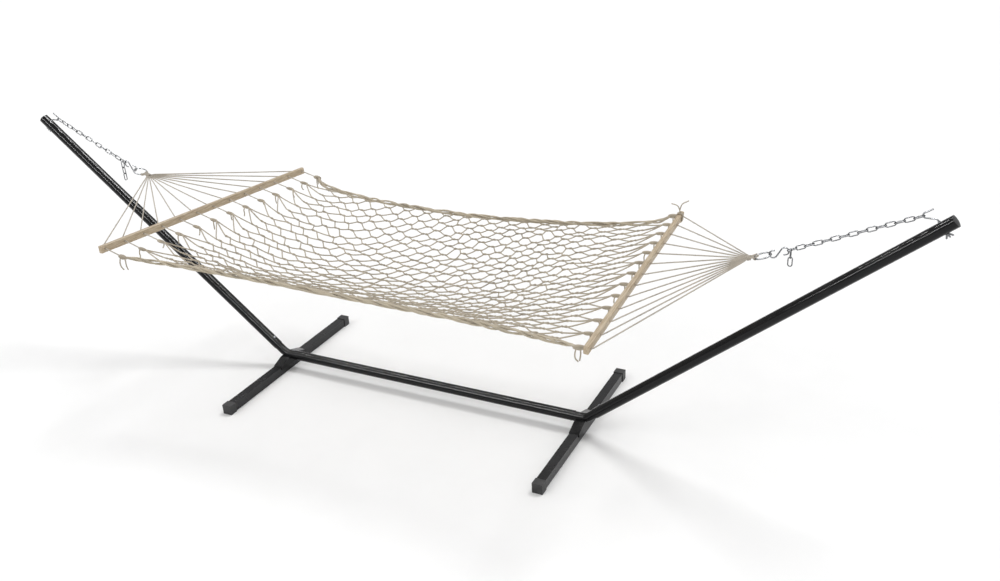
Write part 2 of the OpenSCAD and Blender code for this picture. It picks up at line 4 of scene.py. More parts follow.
import bpy
import numpy as np
from mathutils import Matrix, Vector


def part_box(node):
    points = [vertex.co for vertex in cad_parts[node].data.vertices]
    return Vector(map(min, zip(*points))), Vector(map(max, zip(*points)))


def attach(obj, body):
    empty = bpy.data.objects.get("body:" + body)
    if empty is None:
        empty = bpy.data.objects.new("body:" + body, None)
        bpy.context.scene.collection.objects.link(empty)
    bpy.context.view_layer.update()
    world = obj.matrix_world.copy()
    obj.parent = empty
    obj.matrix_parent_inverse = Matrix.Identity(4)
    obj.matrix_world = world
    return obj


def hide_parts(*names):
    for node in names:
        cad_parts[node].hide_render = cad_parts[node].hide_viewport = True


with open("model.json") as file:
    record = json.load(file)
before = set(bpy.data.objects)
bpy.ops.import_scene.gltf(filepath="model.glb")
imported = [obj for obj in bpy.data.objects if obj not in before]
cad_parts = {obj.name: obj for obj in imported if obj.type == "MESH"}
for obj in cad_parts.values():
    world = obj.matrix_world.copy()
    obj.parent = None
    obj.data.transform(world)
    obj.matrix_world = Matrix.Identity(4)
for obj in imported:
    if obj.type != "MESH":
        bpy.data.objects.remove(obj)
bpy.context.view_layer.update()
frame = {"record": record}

SIDES = ("left", "right")
UP = np.array([0.0, 0.0, 1.0])
CORDS = 13

# Sizes of the CAD model, in metres and degrees
HOOK_WIRE_R = 0.003
RING_R = 0.033
CLEW_REACH = {"left": 0.492, "right": 0.540}
CLEW_DROP = {"left": 0.150, "right": 0.167}
BAR_YAW = {"left": 5.4, "right": 2.5}
BAR_TILT = {"left": 2.2, "right": -0.3}
BAR_LEAN = 6.0
BAR_W = 0.022
BAR_H = 0.035
HOLE_HALF = 0.680
MOUTH = 0.006
FAN_X = 0.080
FAN_R = 0.038
FAN_ANGLE = 56.0
TIE = {"left": 0.115, "right": 0.024}
TIE_DROP = {"left": 0.020, "right": 0.004}
TIE_KNOT_D = 0.015
NET_GAP = 0.010
EDGE_PULL = 0.134
EDGE_SAG = 0.060
MID_SAG = 0.215
PULL_SHAPE = 0.5    # 1 would be a plain parabola, and less draws in sooner from the ends

# The camera, in millimetres, metres and degrees
LENS = 36.27
SENSOR = 36.0
SIGHT = 900.0
PITCH, YAW, ROLL = 25.62, 27.36, -3.08
CAMERA_PLACE = (2.3750, -3.7215, 2.6776)

# Ropes and cords as they are drawn, by radius in metres
CORD_R = 0.0028
HEAD_R = 0.0024
BINDING_R = 0.0025
MESH_R = 0.0030
JOINT_R = 0.0029
EDGE_STRAND_R = 0.0041
LEAD_R = 0.0048
TAIL_R = 0.0029
LASHING_R = 0.0027
RAISED_TAIL_R = 0.0028


# ---- The camera ----

def placed(x, y, z, at):
    """The placing whose axes are the three directions given and whose origin is at."""
    return Matrix([[x[k], y[k], z[k], at[k]] for k in range(3)] + [[0, 0, 0, 1]])


def make_camera():
    """A camera turned by its pitch below the level, its yaw about Z and its roll."""
    data = bpy.data.cameras.new("camera")
    data.lens = LENS
    data.sensor_width = SENSOR
    data.clip_end = SIGHT
    data.dof.use_dof = False
    camera = bpy.data.objects.new("camera", data)
    bpy.context.scene.collection.objects.link(camera)
    pitch, yaw, roll = (math.radians(a) for a in (PITCH, YAW, ROLL))
    level = np.array([math.cos(yaw), math.sin(yaw), 0.0])
    ahead = np.array([-math.sin(yaw) * math.cos(pitch), math.cos(yaw) * math.cos(pitch),
                      -math.sin(pitch)])
    over = np.cross(level, ahead)
    right = math.cos(roll) * level + math.sin(roll) * over
    top = -math.sin(roll) * level + math.cos(roll) * over
    camera.matrix_world = placed(right, top, -ahead, CAMERA_PLACE)
    bpy.context.scene.camera = camera


make_camera()


# ---- Places on the frame ----

def turn(axis, degrees):
    """The matrix of a right-handed turn about X, Y or Z."""
    c, s = math.cos(math.radians(degrees)), math.sin(math.radians(degrees))
    a, b = [(1, 2), (2, 0), (0, 1)]["XYZ".index(axis)]
    m = np.eye(3)
    m[a, a] = m[b, b] = c
    m[a, b], m[b, a] = -s, s
    return m


def middle(node):
    """The middle of a node's box at rest."""
    low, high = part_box(node)
    return (np.array(low) + np.array(high)) / 2


def mirrored(side, v):
    """Points drawn for the left end, moved to their own end."""
    v = np.asarray(v, float)
    return v if side == "left" else v * np.array([-1.0, 1.0, 1.0])


def clew_point(side, x, y, z=0.0):
    """A place in the plane of the ring and its fan of cords: x runs from the ring's outer
    wire towards the bed, y across it, and z square to both."""
    angle = math.degrees(math.atan2(CLEW_DROP[side], CLEW_REACH[side]))
    local = np.stack(np.broadcast_arrays(np.asarray(x, float) - RING_R, y, z), -1)
    return middle(f"ring_{side}") + mirrored(side, local @ turn("Y", angle).T)


def bar_point(side, v):
    """A place beside a spreader bar: x away from the ring, y along the bar, z up."""
    m = turn("Z", -BAR_YAW[side]) @ turn("X", -BAR_TILT[side])
    return middle(f"spreader_bar_{side}") + mirrored(side, np.asarray(v, float) @ m.T)


def hole_point(side, x, y):
    """A place on the level of the bar's holes, leaned over with the bar."""
    return bar_point(side, np.array([x, y, 0.0]) @ turn("Y", -BAR_LEAN).T)


def hole_y(j):
    """How far along the bar hole j is, from the near side to the far one."""
    return -HOLE_HALF + 2 * HOLE_HALF * j / (CORDS - 1)


def tie_point(side, j):
    """The middle of tie knot j."""
    return bar_point(side, [BAR_W / 2 + TIE[side], hole_y(j), -TIE_DROP[side]])


def swell(t):
    """A parabola that is 0 at both ends and 1 in the middle."""
    return 4 * t * (1 - t)


def net_point(t, q):
    """A place on the bed: t runs from the left bar to the right one, q across it. A straight
    line joins the two ends, its middle is drawn in and sinks as a power of the parabola
    4t(1-t), and the centre line sinks further by the parabola itself."""
    t, q = np.broadcast_arrays(np.asarray(t, float), np.asarray(q, float))
    ends = []
    for side in SIDES:
        reach = BAR_W / 2 + TIE[side] + TIE_KNOT_D / 2 + NET_GAP
        row = np.stack([0 * q + reach, q * HOLE_HALF, 0 * q - TIE_DROP[side]], -1)
        ends.append(bar_point(side, row))
    t, q = t[..., None], q[..., None]
    pull = np.maximum(swell(t), 0) ** PULL_SHAPE
    drop = pull * EDGE_SAG + swell(t) * (MID_SAG - EDGE_SAG) * (1 - q * q)
    inward = np.concatenate([0 * q, pull * EDGE_PULL * q, drop], -1)
    return ends[0] + (ends[1] - ends[0]) * t - inward


# ---- Surfaces ----

def unit(v):
    """The same directions at length 1."""
    return v / np.maximum(np.linalg.norm(v, axis=-1, keepdims=True), 1e-12)


def spline(points, step):
    """A smooth curve through the points (Catmull-Rom), resampled at even steps."""
    p = np.asarray(points, float)
    p = np.vstack([2 * p[0] - p[1], p, 2 * p[-1] - p[-2]])
    s = np.linspace(0, 1, 12, endpoint=False)[:, None]
    out = []
    for a, b, c, d in zip(p[:-3], p[1:-2], p[2:-1], p[3:]):
        out.append(0.5 * (2 * b + (c - a) * s + (2 * a - 5 * b + 4 * c - d) * s ** 2
                          + (3 * b - a - 3 * c + d) * s ** 3))
    out = np.vstack(out + [p[-2][None]])
    return resampled(out, step)


def run(path):
    """How far along the path each of its points is."""
    return np.r_[0, np.cumsum(np.linalg.norm(np.diff(path, axis=0), axis=1))]


def resampled(path, step):
    """The same path with its points at even distances."""
    length = run(path)
    n = max(int(round(length[-1] / step)) + 1, 3)
    at = np.linspace(0, length[-1], n)
    return np.stack([np.interp(at, length, path[:, k]) for k in range(3)], -1)


def frames(path):
    """Directions along and square to a path, carried on with the least turning."""
    along = unit(np.gradient(path, axis=0))
    first = np.cross(along[0], UP if abs(along[0][2]) < 0.9 else np.array([1.0, 0, 0]))
    across = np.empty_like(path)
    across[0] = unit(first)
    for k in range(1, len(path)):
        v = across[k - 1] - along[k] * (across[k - 1] @ along[k])
        across[k] = v / np.linalg.norm(v)
    return along, across, np.cross(along, across)


class Skin:
    """Grids of points gathered into one mesh, with a UV of metres along and turns around."""

    def __init__(self):
        self.points, self.faces, self.uvs, self.count = [], [], [], 0

    def add(self, points, faces, uv):
        """Put in points, faces that count from their first point, and a UV per corner."""
        self.points.append(points)
        self.faces.append(faces + self.count)
        self.uvs.append(uv)
        self.count += len(points)

    def tube(self, path, radius, sides=8, start=0.0):
        """A circle of the given radius carried along the path, with both ends closed by a fan
        of triangles. start is where along its lay the rope begins, in metres."""
        path = np.asarray(path, float)
        n = len(path)
        radius = np.broadcast_to(np.asarray(radius, float), (n,))
        _, u, v = frames(path)
        a = 2 * np.pi * np.arange(sides) / sides
        ring = path[:, None] + radius[:, None, None] * (u[:, None] * np.cos(a)[None, :, None]
                                                       + v[:, None] * np.sin(a)[None, :, None])
        points = np.vstack([ring.reshape(-1, 3), path[:1], path[-1:]])
        k, s = np.meshgrid(np.arange(n - 1), np.arange(sides), indexing="ij")
        k, s = k.ravel(), s.ravel()
        nxt = (s + 1) % sides
        faces = np.stack([k * sides + s, k * sides + nxt, (k + 1) * sides + nxt,
                          (k + 1) * sides + s], -1)
        length = start + run(path)
        uv = np.stack([length[k], s / sides, length[k], (s + 1) / sides,
                       length[k + 1], (s + 1) / sides, length[k + 1], s / sides], -1)
        self.add(points, faces, uv.reshape(-1, 4, 2))
        q = np.arange(sides)
        first, last = n * sides, n * sides + 1
        base = self.count - len(points)
        after = (q + 1) % sides
        end_row = (n - 1) * sides
        head = np.stack([0 * q + first, after, q, q], -1)
        tail = np.stack([0 * q + last, end_row + q, end_row + after, end_row + after], -1)
        for cap, at in ((head, length[0]), (tail, length[-1])):
            self.faces.append(cap + base)
            self.uvs.append(np.tile(np.array([at, 0.0]), (sides, 4, 1)))

    def object(self, name, material, body, slot):
        """The mesh object, riding on its body. A face whose last two corners are the same
        one is a triangle."""
        points = np.vstack(self.points)
        quads, uvs = np.vstack(self.faces), np.vstack(self.uvs)
        three = quads[:, 2] == quads[:, 3]
        order = np.r_[np.flatnonzero(~three), np.flatnonzero(three)]
        quads, uvs, three = quads[order], uvs[order], three[order]
        sizes = np.where(three, 3, 4)
        keep = np.ones((len(quads), 4), bool)
        keep[three, 3] = False
        loops, coords = quads[keep], uvs[keep]
        mesh = bpy.data.meshes.new(name)
        mesh.vertices.add(len(points))
        mesh.vertices.foreach_set("co", points.ravel())
        mesh.loops.add(len(loops))
        mesh.loops.foreach_set("vertex_index", loops.astype(np.int32))
        mesh.polygons.add(len(sizes))
        mesh.polygons.foreach_set("loop_start", np.r_[0, np.cumsum(sizes)[:-1]].astype(np.int32))
        mesh.polygons.foreach_set("loop_total", sizes.astype(np.int32))
        mesh.polygons.foreach_set("use_smooth", np.full(len(sizes), True))
        layer = mesh.uv_layers.new(name="lay")
        layer.data.foreach_set("uv", coords.ravel())
        mesh.update(calc_edges=True)
        mesh.validate()
        mesh.materials.append(material)
        obj = bpy.data.objects.new(name, mesh)
        bpy.context.scene.collection.objects.link(obj)
        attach(obj, body)
        return obj


# ---- Materials ----

class Finish:
    """A material built up node by node on one Principled shader."""

    def __init__(self, name, **sockets):
        self.material = bpy.data.materials.new(name)
        self.material.use_nodes = True
        self.tree = self.material.node_tree
        self.shader = self.tree.nodes["Principled BSDF"]
        for key, value in sockets.items():
            self.shader.inputs[key.replace("_", " ")].default_value = value

    def node(self, kind, inputs=None, **settings):
        """A node with its settings, and its inputs linked or set to a value."""
        n = self.tree.nodes.new(kind)
        for key, value in settings.items():
            setattr(n, key, value)
        for key, value in (inputs or {}).items():
            if isinstance(value, bpy.types.NodeSocket):
                self.tree.links.new(value, n.inputs[key])
            else:
                n.inputs[key].default_value = value
        return n

    def place(self, scale=(1, 1, 1), rotation=(0, 0, 0), uv=False):
        """Where on the object a point is, in metres, or along and around its rope."""
        if uv:
            source = self.node("ShaderNodeUVMap", uv_map="lay").outputs[0]
        else:
            source = self.node("ShaderNodeTexCoord").outputs["Object"]
        return self.mapped(source, scale, rotation)

    def mapped(self, where, scale, rotation=(0, 0, 0)):
        """The same places stretched by scale after a turn."""
        return self.node("ShaderNodeMapping", {"Vector": where, "Scale": scale,
                                               "Rotation": rotation}).outputs[0]

    def noise(self, where, scale, detail=3.0, rough=0.55):
        """Cloudy noise from 0 to 1, with scale patches to the metre."""
        return self.node("ShaderNodeTexNoise", {"Vector": where, "Scale": scale, "Detail": detail,
                                                "Roughness": rough}).outputs["Fac"]

    def math(self, operation, a, b=0.0, c=0.0):
        """One sum on values or sockets."""
        return self.node("ShaderNodeMath", {0: a, 1: b, 2: c}, operation=operation).outputs[0]

    def spread(self, value, low, high, to_low, to_high):
        """A value moved from one range to another, and held to it."""
        return self.node("ShaderNodeMapRange", {"Value": value, "From Min": low, "From Max": high,
                                                "To Min": to_low, "To Max": to_high}).outputs[0]

    def ramp(self, value, stops):
        """A colour from a value, blended between its stops."""
        n = self.node("ShaderNodeValToRGB", {"Fac": value})
        while len(n.color_ramp.elements) < len(stops):
            n.color_ramp.elements.new(0.5)
        for e, (at, colour) in zip(n.color_ramp.elements, stops):
            e.position, e.color = at, (*colour, 1.0)
        return n.outputs["Color"]

    def mix(self, amount, a, b):
        """Colour a turning into colour b as amount goes from 0 to 1."""
        n = self.node("ShaderNodeMix", data_type="RGBA")
        for key, value in ((0, amount), (6, a), (7, b)):
            if isinstance(value, bpy.types.NodeSocket):
                self.tree.links.new(value, n.inputs[key])
            else:
                n.inputs[key].default_value = (*value, 1.0) if isinstance(value, tuple) else value
        return n.outputs[2]

    def set(self, socket, value):
        """Drive one of the shader's own sockets."""
        self.tree.links.new(value, self.shader.inputs[socket])

    def bump(self, height, strength, distance):
        """Relief from a height, with distance as its depth in metres."""
        n = self.node("ShaderNodeBump", {"Height": height, "Strength": strength,
                                         "Distance": distance})
        self.set("Normal", n.outputs[0])


def powder_coat(name, colour, rough, shine):
    """Glossy black coating with the faint orange peel and dust of a stove-baked powder."""
    f = Finish(name, IOR=1.45, Specular_IOR_Level=shine)
    where = f.place()
    peel = f.noise(where, 420.0, 2.0)
    smear = f.noise(where, 9.0, 4.0)
    dust = f.noise(where, 1500.0, 1.0)
    dark, light = tuple(c * 0.75 for c in colour), tuple(c * 1.5 for c in colour)
    coat = f.ramp(smear, [(0.3, dark), (0.7, light)])
    f.set("Base Color", f.mix(f.spread(dust, 0.62, 0.72, 0.0, 0.35), coat, (0.10, 0.10, 0.10)))
    f.set("Roughness", f.spread(smear, 0.3, 0.7, rough - 0.05, rough + 0.08))
    f.bump(peel, 0.10, 0.0004)
    return f.material


def moulded_plastic():
    """Satin black plastic with a fine spark-eroded grain."""
    f = Finish("moulded_plastic", IOR=1.45)
    where = f.place()
    grain = f.noise(where, 1400.0, 2.0)
    scuff = f.noise(where, 30.0, 5.0)
    f.set("Base Color", f.ramp(scuff, [(0.35, (0.016, 0.016, 0.017)),
                                       (0.75, (0.042, 0.042, 0.044))]))
    f.set("Roughness", f.spread(scuff, 0.3, 0.7, 0.36, 0.55))
    f.bump(grain, 0.25, 0.0003)
    return f.material


def zinc_plate(name, colour):
    """Zinc over drawn wire: cloudy bright and dull patches with a fine crystal grain."""
    f = Finish(name, Metallic=1.0)
    where = f.place()
    cloud = f.noise(where, 60.0, 4.0)
    fine = f.noise(where, 900.0, 2.0)
    dark = tuple(c * 0.62 for c in colour)
    f.set("Base Color", f.ramp(cloud, [(0.32, dark), (0.66, colour)]))
    f.set("Roughness", f.spread(cloud, 0.3, 0.7, 0.24, 0.46))
    f.bump(fine, 0.18, 0.0003)
    return f.material


def pine(side):
    """Clear-finished pine: long growth rings squeezed across the bar, fine pores and darker
    late wood streaks that run along it."""
    f = Finish(f"pine_{side}", IOR=1.45)
    spin = (0.0, 0.0, math.radians(BAR_YAW[side] if side == "left" else -BAR_YAW[side]))
    where = f.place((1.0, 1.0, 1.0), spin)
    warp = f.noise(f.mapped(where, (34.0, 1.3, 34.0)), 1.6, 4.0, 0.6)
    rings = f.math("SINE", f.math("MULTIPLY", warp, 62.0))
    pores = f.noise(f.mapped(where, (900.0, 22.0, 900.0)), 1.0, 2.0)
    streak = f.noise(f.mapped(where, (90.0, 3.0, 90.0)), 1.0, 3.0)
    base = f.ramp(f.spread(rings, -1.0, 1.0, 0.0, 1.0), [(0.0, (0.40, 0.31, 0.20)),
                                                         (0.55, (0.48, 0.385, 0.265)),
                                                         (1.0, (0.55, 0.455, 0.33))])
    late = f.mix(f.spread(streak, 0.56, 0.70, 0.0, 0.62), base, (0.24, 0.15, 0.085))
    f.set("Base Color", f.mix(f.spread(pores, 0.58, 0.75, 0.0, 0.45), late, (0.22, 0.14, 0.08)))
    f.set("Roughness", f.spread(streak, 0.3, 0.7, 0.42, 0.58))
    grain = f.math("ADD", f.math("MULTIPLY", pores, 0.6), f.math("MULTIPLY", rings, 0.15))
    f.bump(grain, 0.25, 0.0006)
    return f.material


def rope_cotton(name, colour, lay, strands=3.0):
    """Three-strand cotton: ridges climb round the rope once in every lay, with painted shade
    darkening the grooves between the strands, and loose fibres and soiled patches."""
    f = Finish(name, Roughness=0.92, Sheen_Weight=0.35, Sheen_Roughness=0.5,
               Specular_IOR_Level=0.25)
    uv = f.node("ShaderNodeSeparateXYZ", {0: f.place(uv=True)})
    climb = f.math("ADD", f.math("MULTIPLY", uv.outputs[1], strands),
                   f.math("MULTIPLY", uv.outputs[0], strands / lay))
    ridge = f.math("ABSOLUTE", f.math("SINE", f.math("MULTIPLY", climb, math.pi)))
    where = f.place()
    fibre = f.noise(where, 1700.0, 3.0)
    patch = f.noise(where, 14.0, 4.0)
    light = tuple(min(c * 1.16, 1.0) for c in colour)
    dark = tuple(c * 0.74 for c in colour)
    body = f.ramp(patch, [(0.3, dark), (0.5, colour), (0.72, light)])
    # painted shade: the grooves between the strands are darkened towards a third of the rope's
    # colour
    groove_shade = f.mix(f.spread(ridge, 0.0, 0.55, 0.75, 0.0), body, tuple(c * 0.34 for c in colour))
    f.set("Base Color", f.mix(f.spread(fibre, 0.35, 0.7, 0.0, 0.3), groove_shade, light))
    f.bump(f.math("ADD", ridge, f.math("MULTIPLY", fibre, 0.35)), 0.7, 0.0012)
    return f.material


BLACK = powder_coat("black_powder_coat", (0.0036, 0.0036, 0.0041), rough=0.12, shine=0.27)
FOOT_BLACK = powder_coat("foot_powder_coat", (0.0085, 0.0085, 0.0095), rough=0.24, shine=0.42)
PLASTIC = moulded_plastic()
ZINC = zinc_plate("zinc_wire", (0.25, 0.255, 0.265))
CHAIN_ZINC = zinc_plate("zinc_chain", (0.17, 0.173, 0.18))
PINE = {side: pine(side) for side in SIDES}
NET_ROPE = rope_cotton("net_rope", (0.47, 0.405, 0.31), lay=0.016)
CLEW_ROPE = rope_cotton("clew_rope", (0.49, 0.435, 0.36), lay=0.014)
EDGE_ROPE = rope_cotton("edge_rope", (0.53, 0.46, 0.345), lay=0.024)


def dress():
    """Give each carried-over node the finish of its own material slot."""
    slots = {"black_powder_coat": BLACK, "black_plastic": PLASTIC, "zinc_steel": ZINC,
             "cotton_rope": CLEW_ROPE}
    for part in frame["record"]["subparts"]:
        name = part["node"]
        obj = bpy.data.objects[name]
        finish = slots.get(part["material_slot"])
        if name.startswith("foot_") and "cap" not in name:
            finish = FOOT_BLACK
        if "chain" in name:
            finish = CHAIN_ZINC
        if name.startswith("spreader_bar"):
            finish = PINE[name.rsplit("_", 1)[1]]
        obj.data.materials.clear()
        obj.data.materials.append(finish)


dress()

rng = np.random.default_rng(7)


# ---- Clew cords ----

KNOT_GAP = 0.0006
CORNER = 0.004
CORD_STEP = 0.010


def cord_route(side, j):
    """Straight from the fan's binding to the bar, through its hole and on to the tie knot."""
    a = math.radians(FAN_ANGLE * (2 * j / (CORDS - 1) - 1))
    y = hole_y(j)
    knot = tie_point(side, j)
    inner = hole_point(side, BAR_W / 2 + MOUTH, y)
    return np.array([clew_point(side, FAN_X + FAN_R * math.cos(a), FAN_R * math.sin(a)),
                     hole_point(side, -BAR_W / 2 - MOUTH, y), inner,
                     knot - unit(knot - inner) * (TIE_KNOT_D / 2 + KNOT_GAP)])


def eased(corners, bend, step):
    """A path with straight runs whose corners are rounded over a short length."""
    out = [corners[0]]
    for a, b, c in zip(corners[:-2], corners[1:-1], corners[2:]):
        first, last = b - unit(b - a) * bend, b + unit(c - b) * bend
        s = np.linspace(0, 1, 5)[:, None]
        out.extend((1 - s) ** 2 * first + 2 * s * (1 - s) * b + s ** 2 * last)
    out.append(corners[-1])
    return resampled(np.array(out), step)


# Thirteen cords on each side, built alike; the CAD model's node of cords is hidden
for side in SIDES:
    for j in range(CORDS):
        path = eased(cord_route(side, j), CORNER, CORD_STEP)
        skin = Skin()
        skin.tube(path, CORD_R, 10, start=rng.uniform(0, 0.02))
        name = f"clew_cord_{side}_{j + 1}"
        cord = skin.object(name, CLEW_ROPE, "bed", "cotton_rope")
    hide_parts(f"clew_cords_{side}")


# ---- The bound clew at each ring ----

ON_RING = 36.0      # degrees round the ring from its middle to the outermost cords
WAIST_X, WAIST_HALF, WAIST_STACK = 0.026, 0.0062, 0.0035
BINDING_X, BINDING_LONG, BINDING_TURNS = 0.018, 0.014, 3.4
BINDING_HALF = (0.0112, 0.0082)


def clew_head(side):
    """Each cord comes off the ring in a half turn round its wire and runs to the fan's edge,
    and a few turns of cord bind them all where they part."""
    skin = Skin()
    wire = 2 * RING_R
    for j in range(CORDS):
        f = 2 * j / (CORDS - 1) - 1
        spread = math.radians(ON_RING * f)
        out = np.array([math.cos(spread), math.sin(spread)])
        a = np.radians(np.linspace(-205, 62, 12))
        r = HOOK_WIRE_R + HEAD_R
        loop = clew_point(side, RING_R + (RING_R + r * np.cos(a)) * out[0],
                          (RING_R + r * np.cos(a)) * out[1], r * np.sin(a))
        fan = math.radians(FAN_ANGLE * f)
        stack = WAIST_STACK * math.sin(2.4 * j)
        waist = clew_point(side, wire + WAIST_X, WAIST_HALF * f, stack)
        end = clew_point(side, FAN_X + FAN_R * math.cos(fan), FAN_R * math.sin(fan))
        route = np.vstack([loop, waist, waist * 0.45 + end * 0.55, end])
        skin.tube(spline(route, 0.004), HEAD_R, 8, start=0.003 * j)
    bind = np.linspace(0, 2 * np.pi * BINDING_TURNS, 70)
    skin.tube(clew_point(side, wire + BINDING_X + BINDING_LONG * bind / bind[-1],
                         BINDING_HALF[0] * np.cos(bind), BINDING_HALF[1] * np.sin(bind)),
              BINDING_R, 8)
    head = skin.object(f"clew_head_{side}", CLEW_ROPE, "bed", "cotton_rope")
    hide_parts(f"clew_wrap_{side}", f"clew_knot_{side}")


for side in SIDES:
    clew_head(side)


# ---- Net ----

COLUMNS = 32
ROWS = 42
NET_PARTS = 4
TOUCH = 0.013       # half the length over which two ropes lie together at a knot
# Lengths of the columns beside each bar, against about 1 in the middle
FIRST_STEPS = (2.6, 1.7)
LAST_STEPS = (1.0, 1.1, 1.2, 1.35, 1.5, 1.8, 2.2)
# How far knots stray along t, across q and up, the last in metres
STRAY_T, STRAY_Q, STRAY_Z = 0.0034, 0.0072, 0.0035
# How high the net is held up beside the left bar, and where and how widely along t
RISE, RISE_AT, RISE_WIDTH = 0.026, 0.11, 0.075
SWING = 0.17        # how strongly a rope keeps to its knot's direction
JOINT_OFF = 0.0024  # from a knot's middle to each of its two ropes


def bell(t, at, width):
    """A bell curve of height 1, the exponential of minus a square."""
    return np.exp(-((t - at) / width) ** 2)


def net_lattice():
    """Places of the diamond net's knots, the net's direction at each, how far along the bed
    each column is, and which knots are tied, all but the two end rows. Meshes shorten
    from left to right and are longest at the two bars. Rows crowd towards the near edge over
    the left half. The end loops are drawn together at the tie knots, the other knots are
    pushed off their places by seeded amounts, as hand-tied meshes are, and beside the left
    bar the net is held up a little (a bell curve along the bed)."""
    i, j = np.meshgrid(np.arange(COLUMNS + 1), np.arange(ROWS + 1), indexing="ij")
    step = 1.35 - 0.45 * np.arange(COLUMNS) / (COLUMNS - 1)
    step[:len(FIRST_STEPS)] = FIRST_STEPS
    step[-len(LAST_STEPS):] = LAST_STEPS
    t = (np.r_[0, np.cumsum(step)] / step.sum())[i]
    even = 2 * j / ROWS - 1
    middle_part = np.clip(swell(t) * 1.6, 0, 1)
    crowded = np.sin(even) / math.sin(1.0)
    q = even + (crowded - even) * middle_part
    bunch = 0.26 * bell(t, 0.25, 0.2) - 0.04 * bell(t, 0.72, 0.2)
    q = q - bunch * (1 - even ** 2)
    loose = (np.abs(even) < 0.99) * np.clip(np.minimum(i, COLUMNS - i) / 3.0, 0, 1)
    t = t + loose * rng.normal(0, STRAY_T, i.shape)
    q = q + loose * rng.normal(0, STRAY_Q, i.shape) * (1 - 0.5 * np.abs(even))
    ties = np.round(j / ROWS * (CORDS - 1)) / (CORDS - 1) * 2 - 1
    q = np.clip(np.where((i == 0) | (i == COLUMNS), ties, q), -1, 1)
    p = net_point(t, q)
    p[..., 2] += loose * rng.normal(0, STRAY_Z, i.shape)
    p[..., 2] += RISE * bell(t, RISE_AT, RISE_WIDTH) * (1 - q * q)
    ahead = unit(net_point(np.clip(t + 0.004, 0, 1), q) - net_point(np.clip(t - 0.004, 0, 1), q))
    return p, ahead, t[:, 0], (i > 0) & (i < COLUMNS)


knots, ahead, column_t, tied = net_lattice()


def net_ropes(first, last, name):
    """Ropes of the columns from first to last. Each side of a mesh leaves its knot along the
    net and swings over to the next one (a cubic curve with a little slack), and at each
    knot the two ropes lie side by side in half a turn round each other."""
    skin = Skin()
    s = np.linspace(0, 1, 8)[:, None]
    for i in range(first, last):
        for j in range(i % 2, ROWS + 1, 2):
            for dj in (-1, 1):
                if not 0 <= j + dj <= ROWS:
                    continue
                a = knots[i, j] + ahead[i, j] * TOUCH * tied[i, j]
                b = knots[i + 1, j + dj] - ahead[i + 1, j + dj] * TOUCH * tied[i + 1, j + dj]
                pull = SWING * np.linalg.norm(b - a)
                path = (a * (2 * s ** 3 - 3 * s ** 2 + 1) + b * (3 * s ** 2 - 2 * s ** 3)
                        + ahead[i, j] * pull * (s ** 3 - 2 * s ** 2 + s)
                        + ahead[i + 1, j + dj] * pull * (s ** 3 - s ** 2))
                path = path - 4 * s * (1 - s) * UP * (0.001 + abs(rng.normal(0, 0.002)))
                skin.tube(path, MESH_R, 7, start=rng.uniform(0, 0.05))
    s = np.linspace(-1, 1, 7)[:, None]
    for i in range(max(first, 1), last):
        for j in range(i % 2, ROWS + 1, 2):
            d = ahead[i, j]
            u = unit(np.cross(d, UP))
            v = np.cross(u, d)
            turned = np.pi / 2 * s * (1 if (i + j) % 4 else -1) + rng.uniform(-0.5, 0.5)
            off = JOINT_OFF * (u * np.cos(turned) + v * np.sin(turned))
            length = (TOUCH + 0.002) * rng.uniform(0.8, 1.15)
            for side in (-1, 1):
                skin.tube(knots[i, j] + d * (length * s) + side * off, JOINT_R, 6,
                          start=rng.uniform(0, 0.05))
    return skin.object(name, NET_ROPE, "bed", "cotton_rope")


cuts = [int(np.argmin(np.abs(column_t - k / NET_PARTS))) for k in range(NET_PARTS + 1)]
for k in range(NET_PARTS):
    net = net_ropes(cuts[k], cuts[k + 1], f"net_{k + 1}")
    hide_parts(f"net_near_{k + 1}", f"net_far_{k + 1}")


# ---- Edge ropes ----

STRANDS = 5
BUNDLE_LAY = 0.31   # metres along the edge for one turn
BUNDLE_R, BUNDLE_SWELL = 0.0074, 0.0016
BUNDLE_TAPER = 0.06


def edge_bundle(q, name):
    """Ropes that climb round the edge line together, each wandering a little on its way."""
    skin = Skin()
    line = resampled(net_point(np.linspace(0, 1, 400), q), 0.009)
    _, u, v = frames(line)
    length = run(line)
    ends = np.clip(np.minimum(length, length[-1] - length) / BUNDLE_TAPER, 0.35, 1)
    for k in range(STRANDS):
        wander = 0.7 * np.sin(length * 9.0 + 2.1 * k) + 0.4 * np.sin(length * 23.0 + k)
        a = 2 * np.pi * (length / BUNDLE_LAY + k / STRANDS) + wander
        r = (BUNDLE_R + BUNDLE_SWELL * np.sin(length * 14.0 + 1.7 * k)) * ends
        skin.tube(line + r[:, None] * (u * np.cos(a)[:, None] + v * np.sin(a)[:, None]),
                  EDGE_STRAND_R, 8, start=0.011 * k)
    rope = skin.object(name, EDGE_ROPE, "bed", "cotton_rope")
    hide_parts(name.replace("bundle", "rope"))


edge_bundle(-1.0, "edge_bundle_near")
edge_bundle(1.0, "edge_bundle_far")


# ---- Tie knots and their tails ----

EDGE_HALF, EDGE_THICK = 0.024, 0.0082
TIE_HALF, TIE_THICK, TIE_SPREAD = 0.020, 0.0054, 0.004
KNOT_TURNS = 9      # turns of rope round each spindle


